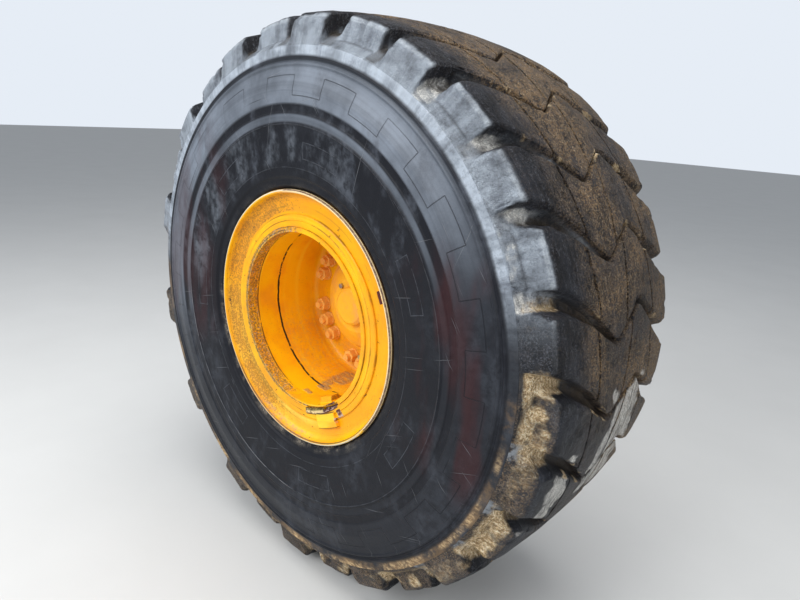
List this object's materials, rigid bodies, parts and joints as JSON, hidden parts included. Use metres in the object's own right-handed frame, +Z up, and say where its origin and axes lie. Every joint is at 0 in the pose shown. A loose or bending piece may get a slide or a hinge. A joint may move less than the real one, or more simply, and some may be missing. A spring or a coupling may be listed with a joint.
{
  "type": "hauler wheel end with earthmover tyre",
  "caption": "Wide lugged earthmover tyre on a multi-piece rim, bolted to a planetary hub that turns on a fixed axle end with a bolted mounting flange.",
  "frame": {"origin": "centre of the axle end's mounting face, on the wheel's axis", "axes": "+Y inboard along the axle, out of the mounting face; +Z up; the wheel's outer face looks along -Y"},
  "size_m": [1.82, 0.791, 1.82],
  "materials": {
    "tyre_rubber": "worn dusty rubber",
    "rim_paint": "amber gloss paint, rusted at edges",
    "hub_paint": "amber paint over castings",
    "worn_paint": "overpainted nuts and stud ends",
    "bare_steel": "machined steel",
    "worn_steel": "rusty steel",
    "brass": "dull brass"
  },
  "bodies": {
    "axle_end": {"spindle": "bare_steel", "brake_housing": "hub_paint", "brake_ports": "worn_steel", "axle_flange": "hub_paint"},
    "wheel": {"tyre": "tyre_rubber", "rim_base": "rim_paint", "outer_flange": "rim_paint", "inner_flange": "rim_paint", "bead_seat_band": "rim_paint", "lock_ring": "rim_paint", "lock_ring_key": "rim_paint", "wheel_disc": "rim_paint", "wheel_studs": "worn_paint", "wheel_nuts": "worn_paint", "hub_drum": "hub_paint", "seal_ring": "bare_steel", "planet_cover": "hub_paint", "end_cap": "hub_paint", "cover_plugs": "bare_steel", "valve_stem": "brass", "valve_cap": "brass"}
  },
  "joints": [
    {"name": "wheel_spin", "type": "hinge", "parent": "axle_end", "child": "wheel", "pos_m": [0, 0, 0], "axis": [0, 1, 0], "continuous": true}
  ]
}
